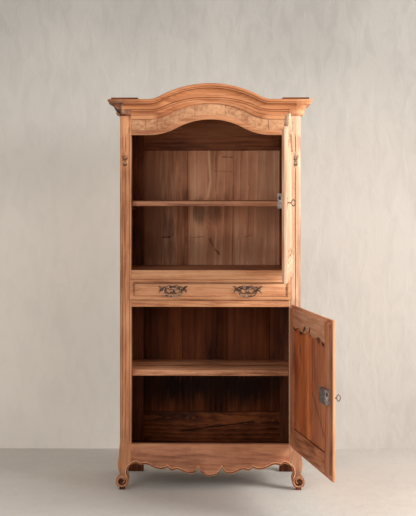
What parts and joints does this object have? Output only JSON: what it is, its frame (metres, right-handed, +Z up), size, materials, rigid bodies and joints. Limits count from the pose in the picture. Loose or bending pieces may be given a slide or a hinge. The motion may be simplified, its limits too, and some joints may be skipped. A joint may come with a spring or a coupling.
{
  "type": "tall cupboard",
  "caption": "Tall country cupboard with an arched cornice, an arched door over a drawer and a square door below, on scroll feet in front; doors swing, drawer slides, keys turn.",
  "frame": {"origin": "on the floor, under the middle of the carcase's width and depth", "axes": "+Z up, the front looks towards -Y, +X to the right of someone who faces the front"},
  "size_m": [1.1377, 1.3456, 2.097],
  "materials": {
    "wood": "stripped and waxed pale fruitwood",
    "burr": "paler figured wood, waxed",
    "inner_wood": "dry old boards",
    "dark_wood": "dark rough old boards",
    "iron": "dark worn iron",
    "bronze": "dark patinated casting"
  },
  "bodies": {
    "case": {"front_stile_left": "wood", "front_stile_right": "wood", "foot_pads": "dark_wood", "rear_post_left": "dark_wood", "rear_post_right": "dark_wood", "frieze_rail": "wood", "frieze_band": "burr", "rail_over_drawer": "wood", "rail_under_drawer": "wood", "apron": "wood", "side_rails_left": "wood", "side_rails_right": "wood", "side_panels_left": "wood", "side_panels_right": "wood", "back_rail_top": "dark_wood", "back_rail_middle": "dark_wood", "back_rail_bottom": "dark_wood", "back_boards_upper": "inner_wood", "back_boards_lower": "inner_wood", "cornice_front": "wood", "cornice_end_left": "wood", "cornice_end_right": "wood", "roof_boards": "dark_wood", "cap_boards": "dark_wood", "upper_shelf": "inner_wood", "lower_shelf": "inner_wood", "shelf_cleats": "dark_wood", "upper_floor": "inner_wood", "drawer_runners": "dark_wood", "bottom_boards": "dark_wood", "bottom_bearers": "dark_wood", "frame_pegs": "dark_wood", "upper_hinge_pins": "iron", "lower_hinge_pins": "iron"},
    "upper_door": {"upper_door_hinge_stile": "wood", "upper_door_lock_stile": "wood", "upper_door_top_rail": "wood", "upper_door_bottom_rail": "wood", "upper_door_panel": "burr", "upper_lock": "iron", "upper_hinge_sockets": "iron"},
    "lower_door": {"lower_door_hinge_stile": "wood", "lower_door_lock_stile": "wood", "lower_door_top_rail": "wood", "lower_door_bottom_rail": "wood", "lower_door_panel": "burr", "lower_lock": "iron", "lower_hinge_sockets": "iron"},
    "upper_bolt": {"upper_lock_bolt": "iron"},
    "lower_bolt": {"lower_lock_bolt": "iron"},
    "upper_key_body": {"upper_key": "iron"},
    "lower_key_body": {"lower_key": "iron"},
    "drawer": {"drawer_front": "wood", "drawer_sides": "inner_wood", "drawer_back": "inner_wood", "drawer_bottom": "inner_wood", "pull_plate_left": "bronze", "pull_plate_right": "bronze"},
    "bail_left_body": {"bail_left": "bronze"},
    "bail_right_body": {"bail_right": "bronze"}
  },
  "joints": [
    {"name": "upper_door_swing", "type": "hinge", "parent": "case", "child": "upper_door", "pos_m": [0.424, -0.2565, 1.45], "axis": [0, 0, 1], "range_deg": [-85.3, 74.7]},
    {"name": "lower_door_swing", "type": "hinge", "parent": "case", "child": "lower_door", "pos_m": [0.424, -0.2565, 0.6], "axis": [0, 0, 1], "range_deg": [-100.4, 59.6]},
    {"name": "drawer_slide", "type": "slide", "parent": "case", "child": "drawer", "axis": [0, -1, 0], "range_m": [0, 0.3]},
    {"name": "bail_left_swing", "type": "hinge", "parent": "drawer", "child": "bail_left_body", "pos_m": [-0.193, -0.2713, 1.037], "axis": [-1, 0, 0], "range_deg": [0, 95]},
    {"name": "bail_right_swing", "type": "hinge", "parent": "drawer", "child": "bail_right_body", "pos_m": [0.193, -0.2713, 1.037], "axis": [-1, 0, 0], "range_deg": [0, 95]},
    {"name": "upper_key_turn", "type": "hinge", "parent": "upper_door", "child": "upper_key_body", "pos_m": [0.36468, -1.0488, 1.494], "axis": [0.9966, -0.0819, 0], "range_deg": [0, 180]},
    {"name": "upper_bolt_slide", "type": "slide", "parent": "upper_door", "child": "upper_bolt", "axis": [-0.0819, -0.9966, 0], "range_m": [0, 0.011]},
    {"name": "lower_key_turn", "type": "hinge", "parent": "lower_door", "child": "lower_key_body", "pos_m": [0.57313, -1.0369, 0.599], "axis": [0.9836, 0.1805, 0], "range_deg": [0, 180]},
    {"name": "lower_bolt_slide", "type": "slide", "parent": "lower_door", "child": "lower_bolt", "axis": [0.1805, -0.9836, 0], "range_m": [0, 0.011]}
  ],
  "couplings": [
    {"joint": "upper_key_turn", "follows": "upper_bolt_slide", "rad_per_m": 270},
    {"joint": "lower_key_turn", "follows": "lower_bolt_slide", "rad_per_m": 270}
  ]
}
